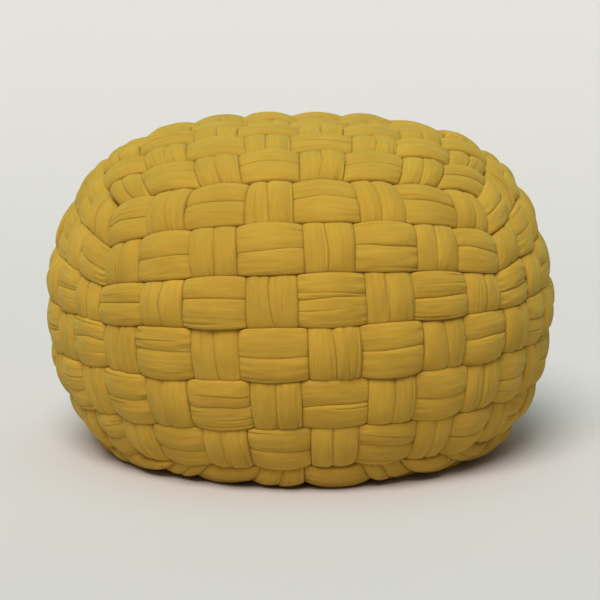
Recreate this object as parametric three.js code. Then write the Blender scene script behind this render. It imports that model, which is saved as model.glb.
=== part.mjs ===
import * as THREE from 'three';
import { mergeVertices } from 'three/addons/utils/BufferGeometryUtils.js';

// Woven footstool: a round filled pad with 22 closed bands of stuffed jersey woven over and under
// each other all round it. Millimetres, +Z up, origin on the floor under the middle.

// Driving dimensions of the footstool
const DIAMETER = 508;
const HEIGHT = 327;
const ROUNDNESS = 3.5; // 2 would be an ellipsoid, more is squarer at the shoulders
const REST_FLATTENING = 42; // how much of the round bottom its own weight presses flat
const REST_ROUND = 20; // half the height over which the round side turns into the flat bottom
const REST_PRESS = 4; // how far the bands themselves are pressed flat on the floor

// The weave is an even lattice of lanes, laid out like the lines on a box blown up to the round
// shape: 8 lanes across, 8 deep and 6 high, each lane as wide as the same angle seen from the middle
const LANES_ACROSS = 8;
const LANES_DEEP = 8;
const LANES_HIGH = 6;
const LANE_ANGLE = THREE.MathUtils.degToRad(360 / 32);

// The weave was made by hand: it sits high, leans to the left and is turned a little on the round
// shape, and the lanes of the front and back are wider than those of the sides, most at the shoulder
const WEAVE_LIFT = THREE.MathUtils.degToRad(4.2);
const WEAVE_TILT = THREE.MathUtils.degToRad(1.9);
const WEAVE_TURN = THREE.MathUtils.degToRad(0.8);
const FRONT_SPREAD = THREE.MathUtils.degToRad(3.65);
const SHOULDER_SPREAD = THREE.MathUtils.degToRad(4.6);
const SHOULDER_LEVEL = 0.54; // sine of the latitude with the most spread
const SHOULDER_REACH = 0.19; // and how far from it the shoulder's own spread dies away

// Below the middle the hoops keep level round the corners of the box, as far as this power of the
// corner's reach lowers them, and above it they bend as the lines on the box do
const HOOP_LEVELLING = 1.3;
const LEVELLING_BLEND = 0.06;
const CORNER_SHARPNESS = 6; // even power that rounds the corner of the box for it

// Section of a band: two stuffed tubes side by side with a crease between them
const BAND_THICKNESS = 10;
const CREASE_DEPTH = 3.5;
const CROSSING_GAP = 0.95; // between the band on top and the band that it crosses
const SECTION = [
  { across: 0.04, edge: 1, crease: 0 },
  { across: 0.27, edge: 0, crease: 0 },
  { across: 0.5, edge: 0, crease: 1 },
  { across: 0.73, edge: 0, crease: 0 },
  { across: 0.96, edge: 1, crease: 0 },
];

// A band lies this far under the outer skin where it passes below its neighbour
const UNDER_DROP = BAND_THICKNESS + CROSSING_GAP;
const PAD_GAP = 2.9; // between the flat backs of the bands and the pad
const PAD_DROP = UNDER_DROP + BAND_THICKNESS + PAD_GAP;

// How a band swells over a crossing, at shares of the way over it: how far its crown lies under the
// skin, and how thick the band is there
const END_CROWN_DROP = 3;
const OVER_STATIONS = [
  { along: 0, drop: UNDER_DROP, thickness: BAND_THICKNESS },
  { along: 0.15, drop: END_CROWN_DROP, thickness: BAND_THICKNESS - END_CROWN_DROP },
  { along: 0.5, drop: 0, thickness: BAND_THICKNESS },
  { along: 0.85, drop: END_CROWN_DROP, thickness: BAND_THICKNESS - END_CROWN_DROP },
  { along: 1, drop: UNDER_DROP, thickness: BAND_THICKNESS },
];

const RADIUS = DIAMETER / 2;
const HALF_HEIGHT = (HEIGHT + REST_FLATTENING) / 2;
const MIDDLE_LEVEL = HEIGHT - HALF_HEIGHT;

const jersey = new THREE.MeshStandardMaterial({ color: 0xbc9639, roughness: 0.95, metalness: 0 });
const innerCloth = new THREE.MeshStandardMaterial({ color: 0x8a6a26, roughness: 0.95, metalness: 0 });

// The soft bottom settles on the floor: lower heights turn smoothly into one flat level
function settledHeight(height) {
  const pressed = THREE.MathUtils.clamp(height, -REST_ROUND, REST_ROUND);
  return Math.max(height - REST_ROUND, 0) + (pressed + REST_ROUND) ** 2 / (4 * REST_ROUND);
}

// How far the skin is from the middle in a direction, by Newton steps from well outside it
function skinDistance(level, rise) {
  let distance = DIAMETER;
  for (let round = 0; round < 20; round += 1) {
    const sides = (level * distance / RADIUS) ** ROUNDNESS;
    const ends = (rise * distance / HALF_HEIGHT) ** 2;
    distance -= (sides + ends - 1) * distance / (ROUNDNESS * sides + 2 * ends);
  }
  return distance;
}

// Point of the round shape at a lattice place (steps from the middle), drop mm under the skin
function skinPoint(step, drop) {
  const direction = new THREE.Vector3(
    Math.tan(step.x * LANE_ANGLE),
    Math.tan(step.y * LANE_ANGLE),
    Math.tan(step.z * LANE_ANGLE + WEAVE_LIFT),
  );
  const wall = (direction.x ** CORNER_SHARPNESS + direction.y ** CORNER_SHARPNESS) ** (1 / CORNER_SHARPNESS);
  const cornerReach = wall > 0 ? Math.hypot(direction.x, direction.y) / wall : 1;
  const levelling = HOOP_LEVELLING * wall / (1 + Math.exp(direction.z / LEVELLING_BLEND));
  direction.z *= cornerReach ** levelling;
  direction.normalize();
  direction.applyAxisAngle(new THREE.Vector3(0, 1, 0), -WEAVE_TILT);
  const fromShoulder = (direction.z - SHOULDER_LEVEL) / SHOULDER_REACH;
  const spread = FRONT_SPREAD + SHOULDER_SPREAD * Math.exp(-(fromShoulder ** 2));
  const azimuth = Math.atan2(direction.x, -direction.y);
  const turn = WEAVE_TURN + spread * Math.sin(2 * azimuth);
  direction.applyAxisAngle(new THREE.Vector3(0, 0, 1), turn);
  const level = Math.hypot(direction.x, direction.y);
  const point = direction.multiplyScalar(skinDistance(level, direction.z));

  const reach = Math.hypot(point.x, point.y);
  const sideways = ROUNDNESS * (reach / RADIUS) ** (ROUNDNESS - 2) / RADIUS ** 2;
  const upwards = 2 / HALF_HEIGHT ** 2;
  const height = point.z + MIDDLE_LEVEL + REST_PRESS;
  const steepness = THREE.MathUtils.clamp((height + REST_ROUND) / (2 * REST_ROUND), 0, 1);
  const normal = new THREE.Vector3(
    steepness * sideways * point.x,
    steepness * sideways * point.y,
    upwards * point.z,
  ).normalize();

  point.z = settledHeight(height) - REST_PRESS;
  point.addScaledVector(normal, -drop);
  point.z = Math.max(point.z, 0);
  return point;
}

// The four sides of a loop's way round the lattice, starting at the low end of both axes
function ringSides(first, second) {
  return [
    { moving: first.axis, steps: first.lanes, from: -1, fixed: second.axis, at: -second.lanes / 2 },
    { moving: second.axis, steps: second.lanes, from: -1, fixed: first.axis, at: first.lanes / 2 },
    { moving: first.axis, steps: first.lanes, from: 1, fixed: second.axis, at: second.lanes / 2 },
    { moving: second.axis, steps: second.lanes, from: 1, fixed: first.axis, at: -first.lanes / 2 },
  ];
}

// One closed band: a section at each station, joined all the way round into a ring
function bandGeometry(sides, lane, parity) {
  const positions = [];
  let crossing = 0;
  for (const side of sides) {
    for (let cell = 0; cell < side.steps; cell += 1) {
      if ((crossing + parity) % 2 === 0) {
        for (const station of OVER_STATIONS) {
          const travelled = cell + station.along;
          const place = { [side.fixed]: side.at };
          place[side.moving] = side.from * (side.steps / 2 - travelled);
          for (const corner of SECTION) {
            place[lane.axis] = THREE.MathUtils.lerp(lane.start, lane.end, corner.across);
            const edge = corner.edge * station.thickness;
            const point = skinPoint(place, station.drop + edge + corner.crease * CREASE_DEPTH);
            positions.push(point.x, point.y, point.z);
          }
        }
      }
      crossing += 1;
    }
  }

  const corners = SECTION.length;
  const stations = positions.length / 3 / corners;
  const faces = [];
  for (let station = 0; station < stations; station += 1) {
    const here = station * corners;
    const next = ((station + 1) % stations) * corners;
    for (let corner = 0; corner < corners; corner += 1) {
      const beside = (corner + 1) % corners;
      faces.push(here + corner, next + corner, next + beside);
      faces.push(here + corner, next + beside, here + beside);
    }
  }

  const geometry = new THREE.BufferGeometry();
  geometry.setAttribute('position', new THREE.Float32BufferAttribute(positions, 3));
  geometry.setIndex(faces);
  geometry.computeVertexNormals();
  return geometry;
}

// The filled pad under the weave, with a corner of its skin at every corner of the lattice
function padGeometry() {
  const half = { x: LANES_ACROSS / 2, y: LANES_DEEP / 2, z: LANES_HIGH / 2 };
  const walls = [
    { fixed: 'x', across: 'y', up: 'z' },
    { fixed: 'y', across: 'z', up: 'x' },
    { fixed: 'z', across: 'x', up: 'y' },
  ];
  const positions = [];
  for (const wall of walls) {
    for (const end of [-1, 1]) {
      for (let a = -half[wall.across]; a < half[wall.across]; a += 1) {
        for (let b = -half[wall.up]; b < half[wall.up]; b += 1) {
          const corner = (da, db) => skinPoint({
            [wall.fixed]: end * half[wall.fixed],
            [wall.across]: a + da,
            [wall.up]: b + db,
          }, PAD_DROP);
          const square = [corner(0, 0), corner(1, 0), corner(1, 1), corner(0, 1)];
          const order = end > 0 ? [0, 1, 2, 0, 2, 3] : [0, 2, 1, 0, 3, 2];
          for (const index of order) {
            positions.push(square[index].x, square[index].y, square[index].z);
          }
        }
      }
    }
  }
  const loose = new THREE.BufferGeometry();
  loose.setAttribute('position', new THREE.Float32BufferAttribute(positions, 3));
  const geometry = mergeVertices(loose, 0.01);
  geometry.computeVertexNormals();
  return geometry;
}

const across = { axis: 'x', lanes: LANES_ACROSS };
const deep = { axis: 'y', lanes: LANES_DEEP };
const high = { axis: 'z', lanes: LANES_HIGH };

const footstool = new THREE.Group();

function addPiece(name, geometry, material) {
  const piece = new THREE.Mesh(geometry, material);
  piece.name = name;
  footstool.add(piece);
}

// Hoops run level round the sides, numbered from the top
for (let row = 0; row < LANES_HIGH; row += 1) {
  const top = LANES_HIGH / 2 - row;
  const lane = { axis: 'z', start: top - 1, end: top };
  addPiece(`hoop_${row + 1}`, bandGeometry(ringSides(across, deep), lane, row), jersey);
}

// Front-back loops go up the front, over the top, down the back and under, from left to right
for (let column = 0; column < LANES_ACROSS; column += 1) {
  const left = column - LANES_ACROSS / 2;
  const lane = { axis: 'x', start: left + 1, end: left };
  addPiece(`front_back_${column + 1}`, bandGeometry(ringSides(high, deep), lane, column), jersey);
}

// Left-right loops go up the left side, over the top, down the right and under, from the front
for (let layer = 0; layer < LANES_DEEP; layer += 1) {
  const front = layer - LANES_DEEP / 2;
  const lane = { axis: 'y', start: front, end: front + 1 };
  addPiece(`left_right_${layer + 1}`, bandGeometry(ringSides(high, across), lane, layer + 1), jersey);
}

addPiece('filled_pad', padGeometry(), innerCloth);

export default footstool;
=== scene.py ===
import math
import bpy
import numpy as np
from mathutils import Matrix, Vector


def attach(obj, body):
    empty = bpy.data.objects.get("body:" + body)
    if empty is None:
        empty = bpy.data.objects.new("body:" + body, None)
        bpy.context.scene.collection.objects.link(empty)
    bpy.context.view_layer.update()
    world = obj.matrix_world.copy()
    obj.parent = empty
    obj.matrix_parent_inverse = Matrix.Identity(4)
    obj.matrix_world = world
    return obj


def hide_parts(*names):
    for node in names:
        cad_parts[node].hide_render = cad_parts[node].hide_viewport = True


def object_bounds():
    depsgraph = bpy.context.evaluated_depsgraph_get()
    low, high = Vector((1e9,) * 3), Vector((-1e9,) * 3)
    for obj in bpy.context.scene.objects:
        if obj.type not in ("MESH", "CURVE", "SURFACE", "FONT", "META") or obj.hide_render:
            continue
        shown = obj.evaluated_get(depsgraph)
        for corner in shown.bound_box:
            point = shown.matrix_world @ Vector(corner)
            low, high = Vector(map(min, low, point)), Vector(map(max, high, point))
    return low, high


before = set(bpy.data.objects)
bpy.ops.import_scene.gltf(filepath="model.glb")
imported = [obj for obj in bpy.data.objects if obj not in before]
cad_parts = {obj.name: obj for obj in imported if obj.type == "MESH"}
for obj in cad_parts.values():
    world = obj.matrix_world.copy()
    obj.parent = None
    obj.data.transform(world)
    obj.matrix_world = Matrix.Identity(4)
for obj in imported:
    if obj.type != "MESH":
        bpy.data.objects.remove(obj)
cad_low, cad_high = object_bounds()

# Camera: level with the middle of the footstool and a little above it, square to its front,
# far enough away for the perspective of the photograph.
picture_width = 600
focal_pixels = 2098
view_distance = 2.101
view_rise = math.radians(9.78)
aim_height = 0.1433

bpy.ops.object.camera_add(
    location=(
        0,
        -view_distance * math.cos(view_rise),
        aim_height + view_distance * math.sin(view_rise),
    ),
    rotation=(math.radians(90) - view_rise, 0, 0),
)
camera = bpy.context.object
camera.data.sensor_width = 36
camera.data.lens = camera.data.sensor_width * focal_pixels / picture_width
bpy.context.scene.camera = camera

# Studio: one broad soft light from above the camera, a little to its left, a weak cool light
# straight above, and even surroundings over a plain pale floor that sweeps up behind.
surroundings = 0.16
surroundings_colour = (1.0, 0.96, 0.90, 1)
key_from = (math.radians(-15), math.radians(52.5))
key_softness = math.radians(34)
key_strength = 3.05
key_colour = (1.0, 0.99, 0.97)
top_strength = 0.65
top_softness = math.radians(60)
top_colour = (0.4, 1.0, 1.0)
paper_tone = (0.63, 0.575, 0.55, 1)
paper_roughness = 0.9
floor_size = 12.0
floor_sink = 0.0004
sweep_height = 6.0
sweep_round = 5.0
sweep_segments = 40

world = bpy.data.worlds.new("white_surroundings")
world.use_nodes = True
world.node_tree.nodes["Background"].inputs["Color"].default_value = surroundings_colour
world.node_tree.nodes["Background"].inputs["Strength"].default_value = surroundings
bpy.context.scene.world = world
bpy.context.scene.view_settings.view_transform = "Standard"

bpy.ops.object.light_add(type="SUN", location=(-1, -3, 3))
key_light = bpy.context.object
key_light.name = "key_light"
key_light.data.energy = key_strength
key_light.data.angle = key_softness
key_light.data.color = key_colour
side, rise = key_from
key_rays = Vector((-math.sin(side) * math.cos(rise), math.cos(side) * math.cos(rise), -math.sin(rise)))
key_light.rotation_euler = key_rays.to_track_quat("-Z", "Y").to_euler()

bpy.ops.object.light_add(type="SUN", location=(0, 0, 4))
top_light = bpy.context.object
top_light.name = "top_light"
top_light.data.energy = top_strength
top_light.data.angle = top_softness
top_light.data.color = top_colour

bpy.ops.object.select_all(action="DESELECT")
bpy.ops.mesh.primitive_plane_add(size=floor_size, location=(0, 0, -floor_sink))
floor = bpy.context.object
floor.name = "studio_floor"
bpy.ops.object.transform_apply(location=True, rotation=False, scale=False)
bpy.ops.object.mode_set(mode="EDIT")
bpy.ops.mesh.select_mode(type="EDGE")
bpy.ops.mesh.select_all(action="DESELECT")
bpy.ops.object.mode_set(mode="OBJECT")
for edge in floor.data.edges:
    edge.select = all(floor.data.vertices[v].co.y > 0 for v in edge.vertices)
bpy.ops.object.mode_set(mode="EDIT")
bpy.ops.mesh.extrude_region_move(TRANSFORM_OT_translate={"value": (0, 0, sweep_height)})
bpy.ops.mesh.select_all(action="DESELECT")
bpy.ops.object.mode_set(mode="OBJECT")
for edge in floor.data.edges:
    ends = [floor.data.vertices[v].co for v in edge.vertices]
    edge.select = all(end.y > 0 and end.z < sweep_height / 2 for end in ends)
bpy.ops.object.mode_set(mode="EDIT")
bpy.ops.mesh.bevel(offset=sweep_round, segments=sweep_segments, affect="EDGES")
bpy.ops.object.mode_set(mode="OBJECT")
bpy.ops.object.shade_smooth()

paper = bpy.data.materials.new("studio_paper")
paper.use_nodes = True
paper_shader = paper.node_tree.nodes["Principled BSDF"]
paper_shader.inputs["Base Color"].default_value = paper_tone
paper_shader.inputs["Roughness"].default_value = paper_roughness
floor.data.materials.append(paper)

# Filled pad: the stuffed cloth pad that the bands are woven round. It is a full round shape
# that shows only in the small holes where four floats of the weave meet, coloured darker than the jersey
# as painted shade there.
radius = (cad_high.x - cad_low.x) / 2
roundness = 3.5  # 2 would be an ellipsoid, more is squarer at the shoulders
rest_flattening = 0.042  # how much of the round bottom its own weight presses flat
rest_round = 0.020  # half the height over which the round side turns into the flat bottom
rest_press = 0.004  # how far the bands themselves are pressed flat on the floor
half_height = (cad_high.z + rest_flattening) / 2
middle_level = cad_high.z - half_height
lanes_round = 32
lane_angle = math.radians(360 / lanes_round)
weave_lift = math.radians(4.2)
weave_tilt = math.radians(1.9)
weave_turn = math.radians(0.8)
front_spread = math.radians(3.65)
shoulder_spread = math.radians(4.6)
shoulder_level = 0.54
shoulder_reach = 0.19
hoop_levelling = 1.3
levelling_blend = 0.06
corner_sharpness = 6
lanes = {"x": 8, "y": 8, "z": 6}
axis_index = {"x": 0, "y": 1, "z": 2}
newton_steps = 20
pad_drop = 0.0235
pad_cuts = 31


def skin_points(place, drop):
    """Points drop metres under the round shape's skin, at places counted in lanes from its middle."""
    direction = np.tan(place * lane_angle + [0, 0, weave_lift])

    # Below the middle the hoops keep level round the corners of the lattice's box
    wall = np.sum(direction[..., :2] ** corner_sharpness, axis=-1) ** (1 / corner_sharpness)
    corner_reach = np.maximum(np.hypot(direction[..., 0], direction[..., 1]) / np.maximum(wall, 1e-9), 1)
    levelling = hoop_levelling * wall / (1 + np.exp(direction[..., 2] / levelling_blend))
    direction[..., 2] *= corner_reach**levelling
    direction /= np.linalg.norm(direction, axis=-1, keepdims=True)

    # The weave leans and is turned a little, and the front and back lanes spread, most at the shoulder
    leaned_x = direction[..., 0] * math.cos(weave_tilt) - direction[..., 2] * math.sin(weave_tilt)
    leaned_z = direction[..., 0] * math.sin(weave_tilt) + direction[..., 2] * math.cos(weave_tilt)
    level = np.hypot(leaned_x, direction[..., 1])
    azimuth = np.arctan2(leaned_x, -direction[..., 1])
    at_shoulder = np.exp(-(((leaned_z - shoulder_level) / shoulder_reach) ** 2))
    lane_spread = front_spread + shoulder_spread * at_shoulder
    azimuth = azimuth + weave_turn + lane_spread * np.sin(2 * azimuth)
    direction = np.stack([level * np.sin(azimuth), -level * np.cos(azimuth), leaned_z], -1)

    # How far out the skin is in each direction, by Newton steps from well outside it
    distance = np.full(level.shape, 2 * radius)
    for _ in range(newton_steps):
        sides = (level * distance / radius) ** roundness
        ends = (leaned_z * distance / half_height) ** 2
        distance -= (sides + ends - 1) * distance / (roundness * sides + 2 * ends)
    point = direction * distance[..., None]
    reach = np.hypot(point[..., 0], point[..., 1])
    sideways = roundness * (reach / radius) ** (roundness - 2) / radius**2
    upwards = 2 / half_height**2

    # The soft bottom settles on the floor: lower heights turn smoothly into one flat level
    height = point[..., 2] + middle_level + rest_press
    steepness = np.clip((height + rest_round) / (2 * rest_round), 0, 1)
    sideways = sideways * steepness
    normal = np.stack([sideways * point[..., 0], sideways * point[..., 1], upwards * point[..., 2]], -1)
    normal /= np.linalg.norm(normal, axis=-1, keepdims=True)
    settled = np.maximum(height - rest_round, 0) + steepness**2 * rest_round
    point[..., 2] = settled - rest_press
    point = point - normal * np.asarray(drop)[..., None]
    point[..., 2] = np.maximum(point[..., 2], 0)
    return point


bpy.ops.object.select_all(action="DESELECT")
bpy.ops.mesh.primitive_cube_add(size=2)
pad = bpy.context.object
pad.name = "stuffed_pad"
bpy.ops.object.mode_set(mode="EDIT")
bpy.ops.mesh.select_all(action="SELECT")
bpy.ops.mesh.subdivide(number_cuts=pad_cuts)
bpy.ops.object.mode_set(mode="OBJECT")
corners = np.empty(len(pad.data.vertices) * 3, np.float32)
pad.data.vertices.foreach_get("co", corners)
corners = corners.reshape(-1, 3).astype(float) * [lanes[axis] / 2 for axis in "xyz"]
pad.data.vertices.foreach_set("co", skin_points(corners, np.full(len(corners), pad_drop)).ravel())
pad.data.update()
bpy.ops.object.shade_smooth()

pad_cloth = bpy.data.materials.new("pad_cloth")
pad_cloth.use_nodes = True
nodes = pad_cloth.node_tree.nodes
links = pad_cloth.node_tree.links
shader = nodes["Principled BSDF"]
shader.inputs["Roughness"].default_value = 0.95
coordinates = nodes.new("ShaderNodeTexCoord")
threads = nodes.new("ShaderNodeTexNoise")
threads.inputs["Scale"].default_value = 900
links.new(coordinates.outputs["Object"], threads.inputs["Vector"])
# Painted shade: the pad's cloth tones are darker than the jersey so the holes between floats look shaded
pad_shade_tones = nodes.new("ShaderNodeValToRGB")
pad_shade_tones.color_ramp.elements[0].color = (0.22, 0.12, 0.017, 1)
pad_shade_tones.color_ramp.elements[1].color = (0.30, 0.17, 0.024, 1)
links.new(threads.outputs["Fac"], pad_shade_tones.inputs["Fac"])
links.new(pad_shade_tones.outputs["Color"], shader.inputs["Base Color"])
thread_bump = nodes.new("ShaderNodeBump")
thread_bump.inputs["Strength"].default_value = 0.3
thread_bump.inputs["Distance"].default_value = 0.0004
links.new(threads.outputs["Fac"], thread_bump.inputs["Height"])
links.new(thread_bump.outputs["Normal"], shader.inputs["Normal"])
pad.data.materials.append(pad_cloth)

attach(pad, "root")
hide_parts("filled_pad")

# Hoop bands: level bands round the sides. Every band is two stuffed jersey tubes side by side,
# flattened where they press on each other, and its ends are joined into a ring out of sight.
# It swells over one crossing, dives steeply, and passes under the next.

# Their jersey is finely knitted mustard cotton, matt, that lets a little light through. It has soft
# streaks and folds where it is stretched lengthwise, and painted shade, a browner and slightly darker
# tone, down in the creases.
jersey = bpy.data.materials.new("mustard_jersey")
jersey.use_nodes = True
nodes = jersey.node_tree.nodes
links = jersey.node_tree.links
shader = nodes["Principled BSDF"]
shader.inputs["Roughness"].default_value = 0.9
shader.inputs["Specular IOR Level"].default_value = 0.2
shader.inputs["Subsurface Weight"].default_value = 0.45
shader.inputs["Subsurface Radius"].default_value = (1.0, 0.75, 0.35)
shader.inputs["Subsurface Scale"].default_value = 0.0045
shader.inputs["Sheen Weight"].default_value = 0.10
shader.inputs["Sheen Roughness"].default_value = 0.5
shader.inputs["Sheen Tint"].default_value = (0.5, 1.0, 0.45, 1)

coordinates = nodes.new("ShaderNodeTexCoord")
blotches = nodes.new("ShaderNodeTexNoise")
blotches.inputs["Scale"].default_value = 22
blotches.inputs["Detail"].default_value = 3
links.new(coordinates.outputs["Object"], blotches.inputs["Vector"])
cloth_tones = nodes.new("ShaderNodeValToRGB")
cloth_tones.color_ramp.elements[0].position = 0.3
cloth_tones.color_ramp.elements[0].color = (0.444, 0.255, 0.027, 1)
cloth_tones.color_ramp.elements[1].position = 0.7
cloth_tones.color_ramp.elements[1].color = (0.520, 0.304, 0.034, 1)
links.new(blotches.outputs["Fac"], cloth_tones.inputs["Fac"])

along_tube = nodes.new("ShaderNodeUVMap")
along_tube.uv_map = "along_tube"
stretch = nodes.new("ShaderNodeMapping")
stretch.inputs["Scale"].default_value = (18, 260, 1)
links.new(along_tube.outputs["UV"], stretch.inputs["Vector"])
streaks = nodes.new("ShaderNodeTexNoise")
streaks.inputs["Scale"].default_value = 1
streaks.inputs["Detail"].default_value = 4
links.new(stretch.outputs["Vector"], streaks.inputs["Vector"])
streak_tones = nodes.new("ShaderNodeMapRange")
streak_tones.inputs["From Min"].default_value = 0.3
streak_tones.inputs["From Max"].default_value = 0.7
streak_tones.inputs["To Min"].default_value = 0.93
streak_tones.inputs["To Max"].default_value = 1.05
links.new(streaks.outputs["Fac"], streak_tones.inputs["Value"])
streaked = nodes.new("ShaderNodeVectorMath")
streaked.operation = "SCALE"
links.new(cloth_tones.outputs["Color"], streaked.inputs[0])
links.new(streak_tones.outputs["Result"], streaked.inputs["Scale"])

# Painted shade: the crease attribute mixes the colour towards a browner, slightly darker tone in
# creases, folds and diving float ends
crease_shade = nodes.new("ShaderNodeAttribute")
crease_shade.attribute_name = "crease"
painted_crease_shade = nodes.new("ShaderNodeMix")
painted_crease_shade.data_type = "RGBA"
painted_crease_shade.inputs["B"].default_value = (0.50, 0.245, 0.014, 1)
links.new(crease_shade.outputs["Fac"], painted_crease_shade.inputs["Factor"])
links.new(streaked.outputs["Vector"], painted_crease_shade.inputs["A"])
links.new(painted_crease_shade.outputs["Result"], shader.inputs["Base Color"])

soft_size = nodes.new("ShaderNodeMapping")
soft_size.inputs["Scale"].default_value = (34, 105, 1)
links.new(along_tube.outputs["UV"], soft_size.inputs["Vector"])
soft_folds = nodes.new("ShaderNodeTexNoise")
soft_folds.inputs["Scale"].default_value = 1
soft_folds.inputs["Detail"].default_value = 2
links.new(soft_size.outputs["Vector"], soft_folds.inputs["Vector"])
knit_size = nodes.new("ShaderNodeMapping")
knit_size.inputs["Scale"].default_value = (900, 1100, 1)
links.new(along_tube.outputs["UV"], knit_size.inputs["Vector"])
knit = nodes.new("ShaderNodeTexNoise")
knit.inputs["Scale"].default_value = 1
knit.inputs["Detail"].default_value = 2
links.new(knit_size.outputs["Vector"], knit.inputs["Vector"])
knit_bump = nodes.new("ShaderNodeBump")
knit_bump.inputs["Strength"].default_value = 1.0
knit_bump.inputs["Distance"].default_value = 0.0004
links.new(knit.outputs["Fac"], knit_bump.inputs["Height"])
streak_bump = nodes.new("ShaderNodeBump")
streak_bump.inputs["Strength"].default_value = 0.5
streak_bump.inputs["Distance"].default_value = 0.0010
links.new(streaks.outputs["Fac"], streak_bump.inputs["Height"])
links.new(knit_bump.outputs["Normal"], streak_bump.inputs["Normal"])
soft_bump = nodes.new("ShaderNodeBump")
soft_bump.inputs["Strength"].default_value = 0.6
soft_bump.inputs["Distance"].default_value = 0.0032
links.new(soft_folds.outputs["Fac"], soft_bump.inputs["Height"])
links.new(streak_bump.outputs["Normal"], soft_bump.inputs["Normal"])
links.new(soft_bump.outputs["Normal"], shader.inputs["Normal"])

# Shape of a band: metres, or shares of half its width or length
lane_width = math.tau * radius / lanes_round
dive = 0.0115  # how deep a band lies where it passes under its neighbour
tube_thickness = 0.010
tube_shoulder = 0.0060  # how far a tube's side falls away to the crease beside it
length_crown = 0.0050  # how far a float's ends lie below its middle
width_crown = 0.0022  # how far a band's edges lie below its middle
tube_crown = 0.0016
end_squareness = 12.0
side_squareness = 10.0
tube_overlap = 0.022  # how far the two tubes press into each other

# Mesh of a band: stations along each float, crowded towards its ends, and columns across each tube,
# crowded towards its edges
stations_each_way = 10
station_crowding = 1.8
under_stations = (0.25, 0.5, 0.75)
columns_each_way = 9
column_crowding = 1.5
back_columns = (0.7, 0.25, -0.25, -0.7)

# Differences from float to float, because the weave is made by hand
crease_offset = 0.060
crease_slant = 0.050
crease_bend = 0.035
crease_ripple = 0.018
ripple_pace = 3.4
float_fade = 4
float_lift = 0.0009
float_sway = 0.006
tube_lift = 0.0007
edge_sway = 0.006
unevenness = 0.00035
lumps_across = 2.2
lumps_along = 1.5
map_scatter = 9  # metres between the places of the jersey that two tubes may be cut from

# Folds along the tubes, and gathers towards the ends of a float
fold_places = (-0.64, 0.05, 0.68)
fold_half_width = 0.045
fold_clearance = 1.5 * fold_half_width
fold_reach = 0.3
fold_offset = 0.10
fold_slant = 0.12
fold_sway = 0.22
fold_chance = 0.29
fold_ends = (-0.6, 1.3)
fold_fade = 0.5
fold_depth = 0.0012
fold_depths = (0.5, 1.0)  # shares of it, from the faintest fold to the deepest
fold_lip = 0.0004
fold_outer_lip = 0.6 * fold_lip
gather_start = 0.45
gather_growth = 1.5
gather_counts = (1.6, 3.0)
gather_shift = 1.3
gather_height = 0.00070

# How much painted shade, the browner crease colour, shows in the folds, and in the creases from so many
# metres down
fold_shading = 0.35
crease_shading = 0.6
shading_start = 0.001
crease_shading_depth = 0.0045
end_shading_depth = 0.005

spread = np.linspace(0, 1, stations_each_way + 1)
half_stations = 1 - (1 - spread) ** station_crowding
over_stations = np.concatenate([-half_stations[:0:-1], half_stations])
spread = np.linspace(0, 1, columns_each_way + 1)
half_columns = 1 - (1 - spread) ** column_crowding
top_columns = np.concatenate([-half_columns[:0:-1], half_columns])
fold_sides = [[fold - fold_half_width, fold, fold + fold_half_width] for fold in fold_places]
clear = [np.abs(top_columns - fold) > fold_clearance for fold in fold_places]
top_columns = np.sort(np.concatenate([top_columns[np.all(clear, axis=0)], np.ravel(fold_sides)]))
fold_columns = [int(np.argmin(np.abs(top_columns - fold))) for fold in fold_places]


def ring_place(travelled, first, second):
    """First and second lattice coordinate after so many lanes of a ring's way round its four sides."""
    sides = [lanes[first], lanes[second], lanes[first], lanes[second]]
    travelled = np.mod(travelled, sum(sides))
    half_first = lanes[first] / 2
    half_second = lanes[second] / 2
    ends = np.cumsum(sides)
    way_2 = travelled - ends[0]
    way_3 = travelled - ends[1]
    way_4 = travelled - ends[2]
    on_side = [travelled < ends[0], travelled < ends[1], travelled < ends[2]]
    first_ways = [travelled - half_first, half_first, half_first - way_3]
    second_ways = [-half_second, way_2 - half_second, half_second]
    first_place = np.select(on_side, first_ways, -half_first)
    second_place = np.select(on_side, second_ways, half_second - way_4)
    return first_place, second_place


def superellipse_drop(share, squareness):
    """0 at the middle of a squarish hump, 1 at its edge."""
    return 1 - (1 - np.abs(share) ** squareness) ** (1 / squareness)


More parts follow.
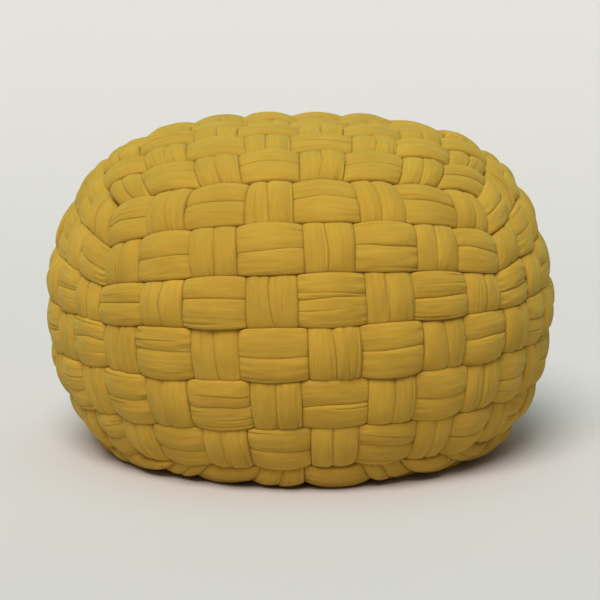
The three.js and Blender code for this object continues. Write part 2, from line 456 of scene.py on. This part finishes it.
def weave_band(name, ring, lane_axis, lane_start, lane_end, parity, width, reach, taper, seed):
    """Mesh of one band: two tubes that follow the ring and swell over every second crossing."""
    chance = np.random.default_rng(seed)
    crossings = 2 * (lanes[ring[0]] + lanes[ring[1]])
    floats = np.arange(parity % 2, crossings, 2)
    count = len(floats)

    # Where each float's crease, edges and folds run, from one end of it (-1) to the other (1)
    x = over_stations[None, :]
    fade = 1 - x**float_fade
    crease_middle = chance.normal(0, crease_offset, (count, 1))
    crease_slope = chance.normal(0, crease_slant, (count, 1))
    crease_bow = chance.normal(0, crease_bend, (count, 1))
    crease_wave = chance.normal(0, crease_ripple, (count, 1))
    crease_phase = chance.uniform(0, math.tau, (count, 1))
    crease = crease_middle + crease_slope * x + crease_bow * (1 - x**2)
    crease = crease + crease_wave * np.sin(ripple_pace * x + crease_phase) * fade
    float_rise = chance.normal(0, float_lift, (count, 1)) * fade
    float_shift = chance.normal(0, float_sway, (count, 1)) * fade
    line_drop = length_crown * x**2
    line_drop = line_drop + (dive - length_crown) * superellipse_drop(x, end_squareness) - float_rise

    # A band may be wider and its floats longer on two of the four sides of its ring
    side_ends = np.cumsum([lanes[ring[0]], lanes[ring[1]], lanes[ring[0]]])
    side_kind = np.searchsorted(side_ends, floats, side="right") % 2
    half_reach = np.array(reach)[side_kind][:, None] / 2
    float_width = np.array(width)[side_kind][:, None]
    end_taper = np.array(taper)[side_kind][:, None, None]
    travelled = floats[:, None] + 0.5 + half_reach * x

    # Between two floats the band lies flat under its neighbour
    share = np.array(under_stations)[None, :]
    float_end = floats[:, None] + 0.5 + half_reach
    next_start = floats[:, None] + 2.5 - np.roll(half_reach, -1, axis=0)
    under_travel = float_end * (1 - share) + next_start * share
    under_width = float_width * (1 - share) + np.roll(float_width, -1, axis=0) * share
    over_width = np.broadcast_to(float_width, travelled.shape)
    band_width = np.concatenate([over_width, under_width], 1)[..., None]
    next_crease = np.roll(crease[:, :1], -1, axis=0)
    under_crease = crease[:, -1:] * (1 - share) + next_crease * share
    travelled = np.concatenate([travelled, under_travel], 1)
    crease = np.concatenate([crease, under_crease], 1)
    line_drop = np.concatenate([line_drop, np.full(under_travel.shape, dive)], 1)
    pad_under = ((0, 0), (0, len(under_stations)))
    float_shift = np.pad(float_shift, pad_under)
    on_top = np.pad(np.broadcast_to(fade, (count, fade.shape[1])), pad_under)
    along = np.concatenate([np.broadcast_to(x, (count, x.shape[1])), np.ones(under_travel.shape)], 1)

    vertices = []
    maps = []
    shades = []
    stations = travelled.size
    for tube in (0, 1):
        tube_rise = chance.normal(0, tube_lift, (count, 1)) * on_top
        edge_wander = np.abs(chance.normal(0, edge_sway, (count, 1))) * on_top
        inner = crease + (-tube_overlap if tube else tube_overlap)
        outer = 1 - edge_wander if tube else -1 + edge_wander
        low = inner if tube else outer
        high = outer if tube else inner

        # Folds of the jersey along the tube, and gathers where it goes under its neighbour
        top = np.broadcast_to(top_columns, (count, travelled.shape[1], len(top_columns))).copy()
        dent = np.zeros(top.shape)
        fold_shade = np.zeros(top.shape)
        for column in fold_columns:
            from_fold = np.abs(top_columns - top_columns[column])
            reach_out = np.clip(1 - (from_fold - fold_half_width) / fold_reach, 0, 1)
            path = chance.normal(0, fold_offset, (count, 1))
            path = path + chance.normal(0, fold_slant, (count, 1)) * along
            top = top + np.clip(path, -fold_sway, fold_sway)[..., None] * reach_out
            shown = chance.uniform(0, 1, (count, 1)) < fold_chance
            from_end = np.sign(chance.normal(0, 1, (count, 1)))
            fold_end = chance.uniform(*fold_ends, (count, 1))
            running = np.clip((fold_end - along * from_end) / fold_fade, 0, 1)
            depth = shown * chance.uniform(*fold_depths, (count, 1)) * running * (on_top > 0)
            lip_side = int(chance.choice([-1, 1]))
            dent[..., column] += fold_depth * depth
            dent[..., column + lip_side] -= fold_lip * depth
            dent[..., column + 2 * lip_side] -= fold_outer_lip * depth
            # Painted shade along the line of each fold
            fold_shade[..., column] = fold_shading * depth

        # The moved columns are stretched back so that a tube's edges stay where they are
        top = 2 * (top - top[..., :1]) / (top[..., -1:] - top[..., :1]) - 1
        side_drop = superellipse_drop(top, side_squareness)
        near_end = np.clip((np.abs(along) - gather_start) / (1 - gather_start), 0, 1)
        near_end = near_end**gather_growth * (on_top > 0) * (1 - np.abs(along) ** end_squareness)
        gather_count = chance.uniform(*gather_counts, (count, 1, 1))
        gather_phase = chance.uniform(0, math.tau, (count, 1, 1))
        gather_phase = gather_phase + gather_shift * np.sign(along)[..., None]
        gather_size = np.abs(chance.normal(0, gather_height, (count, 1, 1)))
        gathers = gather_size * np.sin(math.pi * gather_count * top + gather_phase)
        dent = dent + gathers * near_end[..., None] * (1 - side_drop)
        lump_height = chance.normal(0, unevenness, (count, 1, 1))
        lump_phase = chance.uniform(0, math.tau, (count, 1, 1))
        lumps = lump_height * np.sin(lumps_across * top + lumps_along * along[..., None] + lump_phase)
        dent = dent + lumps * on_top[..., None] * (1 - side_drop)

        middle = ((low + high) / 2)[..., None]
        half = ((high - low) / 2)[..., None]
        across = middle + half * top
        top_drop = (line_drop - tube_rise)[..., None] + width_crown * across**2 + dent
        top_drop = top_drop + tube_crown * top**2
        top_drop = top_drop + tube_shoulder * side_drop
        back = np.broadcast_to(np.array(back_columns), (count, travelled.shape[1], len(back_columns)))
        back_across = middle + half * back
        back_side = superellipse_drop(back, side_squareness)
        back_drop = (line_drop - tube_rise)[..., None] + width_crown * back_across**2 + tube_thickness
        back_drop = back_drop + tube_crown * back**2
        back_drop = back_drop - (tube_thickness - tube_shoulder) * back_side

        across = np.concatenate([across, back_across], 2)
        drop = np.concatenate([top_drop, back_drop], 2)
        # Painted shade: how far the colour goes towards the crease tone, by the depth of the crease
        # between tubes, of the float's ends and of folds; the tube's underside fully
        shade = np.clip((side_drop * tube_shoulder - shading_start) / crease_shading_depth, 0, 1)
        plunge = np.clip((line_drop - length_crown - shading_start) / end_shading_depth, 0, 1)
        shade = np.maximum(shade, plunge[..., None])
        shade = np.clip(shade * crease_shading + fold_shade, 0, 1)
        shade = np.concatenate([shade, np.ones(back_across.shape)], 2)

        narrowing = 1 - end_taper * along[..., None] ** 2
        lateral = (float_shift[..., None] + across * narrowing) * band_width / 2
        first_place, second_place = ring_place(travelled, *ring)
        place = np.empty(across.shape + (3,))
        place[..., axis_index[ring[0]]] = first_place[..., None]
        place[..., axis_index[ring[1]]] = second_place[..., None]
        sense = lane_end - lane_start
        place[..., axis_index[lane_axis]] = (lane_start + lane_end) / 2 + sense * lateral
        vertices.append(skin_points(place, drop).reshape(-1, 3))
        shades.append(shade.reshape(-1))

        # The jersey's own map: metres along the tube and metres across it
        map_along = np.broadcast_to(travelled[..., None] * lane_width, across.shape)
        map_across = across * band_width / 2 * lane_width
        offset = chance.uniform(0, map_scatter, 2)
        maps.append(np.stack([map_along + offset[0], map_across + offset[1]], -1).reshape(-1, 2))

    columns = len(top_columns) + len(back_columns)
    station = np.arange(stations)[:, None]
    column = np.arange(columns)[None, :]
    next_station = (station + 1) % stations
    next_column = (column + 1) % columns
    corner_grid = [
        station * columns + column,
        next_station * columns + column,
        next_station * columns + next_column,
        station * columns + next_column,
    ]
    quads = np.stack(np.broadcast_arrays(*corner_grid), -1).reshape(-1, 4)
    tube_points = stations * columns
    faces = np.concatenate([quads, quads + tube_points])
    points = np.concatenate(vertices)
    around = np.concatenate(maps)

    mesh = bpy.data.meshes.new(name)
    mesh.vertices.add(len(points))
    mesh.vertices.foreach_set("co", points.ravel())
    mesh.loops.add(faces.size)
    mesh.loops.foreach_set("vertex_index", faces.ravel())
    mesh.polygons.add(len(faces))
    mesh.polygons.foreach_set("loop_start", np.arange(0, faces.size, 4))
    mesh.polygons.foreach_set("use_smooth", np.ones(len(faces), bool))
    mesh.update(calc_edges=True)
    uv_map = mesh.uv_layers.new(name="along_tube")
    uv_map.data.foreach_set("uv", around[faces.ravel()].ravel())
    # The painted shade of creases, folds and diving ends, read by the jersey
    crease_layer = mesh.attributes.new("crease", "FLOAT", "POINT")
    crease_layer.data.foreach_set("value", np.concatenate(shades))
    mesh.validate()
    mesh.materials.append(jersey)
    band = bpy.data.objects.new(name, mesh)
    bpy.context.scene.collection.objects.link(band)
    return band


def fit_band(band, node):
    """Puts a finished band in place of its plain ring."""
    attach(band, "root")
    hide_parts(node)


# Width, reach of a float, and taper towards its ends, in lanes, on a ring's first and second sides
hoop_width = (1.045, 1.045)
hoop_reach = (1.16, 1.16)
hoop_taper = (0.055, 0.055)
hoop_seed = 100
for row in range(lanes["z"]):
    top_line = lanes["z"] / 2 - row
    hoop = weave_band(
        f"woven_hoop_{row + 1}", ("x", "y"), "z", top_line - 1, top_line, row,
        hoop_width, hoop_reach, hoop_taper, seed=hoop_seed + row,
    )
    fit_band(hoop, f"hoop_{row + 1}")

# Front-back bands: up the front, over the top, down the back and under, a little narrower
# than the hoops because the hoops' floats push in between them.
front_back_width = (0.87, 0.87)
front_back_reach = (1.01, 1.01)
front_back_taper = (0.01, 0.01)
front_back_seed = 200
for column in range(lanes["x"]):
    left_line = column - lanes["x"] / 2
    front_back = weave_band(
        f"woven_front_back_{column + 1}", ("z", "y"), "x", left_line + 1, left_line, column,
        front_back_width, front_back_reach, front_back_taper, seed=front_back_seed + column,
    )
    fit_band(front_back, f"front_back_{column + 1}")

# Left-right bands: up the left side, over the top, down the right side and under. They are narrow
# where they climb between the hoops' floats, and wide, like the hoops, on top and below.
left_right_width = (0.87, 1.045)
left_right_reach = (1.01, 1.16)
left_right_taper = (0.01, 0.055)
left_right_seed = 300
for layer in range(lanes["y"]):
    front_line = layer - lanes["y"] / 2
    left_right = weave_band(
        f"woven_left_right_{layer + 1}", ("z", "x"), "y", front_line, front_line + 1, layer + 1,
        left_right_width, left_right_reach, left_right_taper, seed=left_right_seed + layer,
    )
    fit_band(left_right, f"left_right_{layer + 1}")
